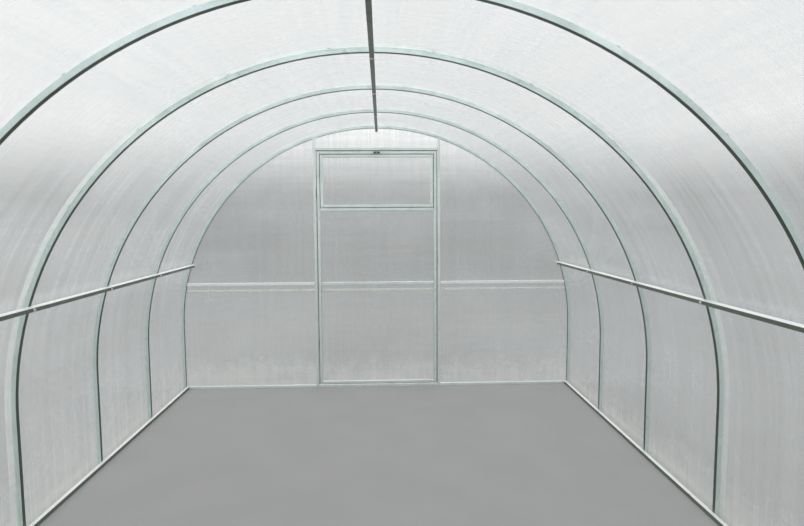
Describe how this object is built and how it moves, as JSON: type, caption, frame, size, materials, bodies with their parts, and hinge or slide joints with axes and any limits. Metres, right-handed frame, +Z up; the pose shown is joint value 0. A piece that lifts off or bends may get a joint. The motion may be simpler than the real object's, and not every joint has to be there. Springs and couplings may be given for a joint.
{
  "type": "arched polycarbonate greenhouse",
  "caption": "Walk-in tunnel greenhouse: bent square steel arches under clear twin-wall polycarbonate, with a hinged door and vent sash in each end wall.",
  "frame": {"origin": "on the ground, in the middle of the plan", "axes": "+Z up; +Y along the tunnel towards the back end, the one that the picture shows; +X across, to the right of someone who faces the back end"},
  "size_m": [3.0132, 4.094, 2.0064],
  "materials": {
    "frame_tube": "galvanised, satin, slightly mottled",
    "cover_sheet": "clear twin-wall polycarbonate, ribbed inside, slightly milky",
    "end_sheet": "clear twin-wall polycarbonate, ribbed inside",
    "joint_strip": "milky extruded plastic",
    "fittings": "zinc plated"
  },
  "bodies": {
    "greenhouse": {"arch_1": "frame_tube", "arch_2": "frame_tube", "arch_3": "frame_tube", "arch_4": "frame_tube", "arch_5": "frame_tube", "arch_6": "frame_tube", "arch_7": "frame_tube", "back_base_rail": "frame_tube", "back_cover_sheet": "cover_sheet", "back_door_posts": "frame_tube", "back_hinge_posts": "fittings", "back_joint_strips": "joint_strip", "back_left_sheet": "end_sheet", "back_lintel": "frame_tube", "back_right_sheet": "end_sheet", "back_top_sheet": "end_sheet", "back_wall_rails": "frame_tube", "cover_joint_strip": "joint_strip", "front_base_rail": "frame_tube", "front_cover_sheet": "cover_sheet", "front_door_posts": "frame_tube", "front_hinge_posts": "fittings", "front_joint_strips": "joint_strip", "front_left_sheet": "end_sheet", "front_lintel": "frame_tube", "front_right_sheet": "end_sheet", "front_top_sheet": "end_sheet", "front_wall_rails": "frame_tube", "left_base_rail": "frame_tube", "left_purlin": "frame_tube", "ridge_purlin": "frame_tube", "right_base_rail": "frame_tube", "right_purlin": "frame_tube"},
    "front_door": {"front_door_frame": "frame_tube", "front_door_handle": "fittings", "front_door_joint_strip": "joint_strip", "front_door_sheet": "end_sheet", "front_hinge_leaves": "fittings", "front_vent_fittings": "fittings", "front_vent_frame": "frame_tube", "front_vent_pane": "end_sheet"},
    "back_door": {"back_door_frame": "frame_tube", "back_door_handle": "fittings", "back_door_joint_strip": "joint_strip", "back_door_sheet": "end_sheet", "back_hinge_leaves": "fittings", "back_vent_fittings": "fittings", "back_vent_frame": "frame_tube", "back_vent_pane": "end_sheet"}
  },
  "joints": [
    {"name": "back_door_hinge", "type": "hinge", "parent": "greenhouse", "child": "back_door", "pos_m": [-0.456, 2.02, 0.919], "axis": [0, 0, 1], "range_deg": [0, 150]},
    {"name": "front_door_hinge", "type": "hinge", "parent": "greenhouse", "child": "front_door", "pos_m": [0.456, -2.02, 0.919], "axis": [0, 0, 1], "range_deg": [0, 150]}
  ]
}
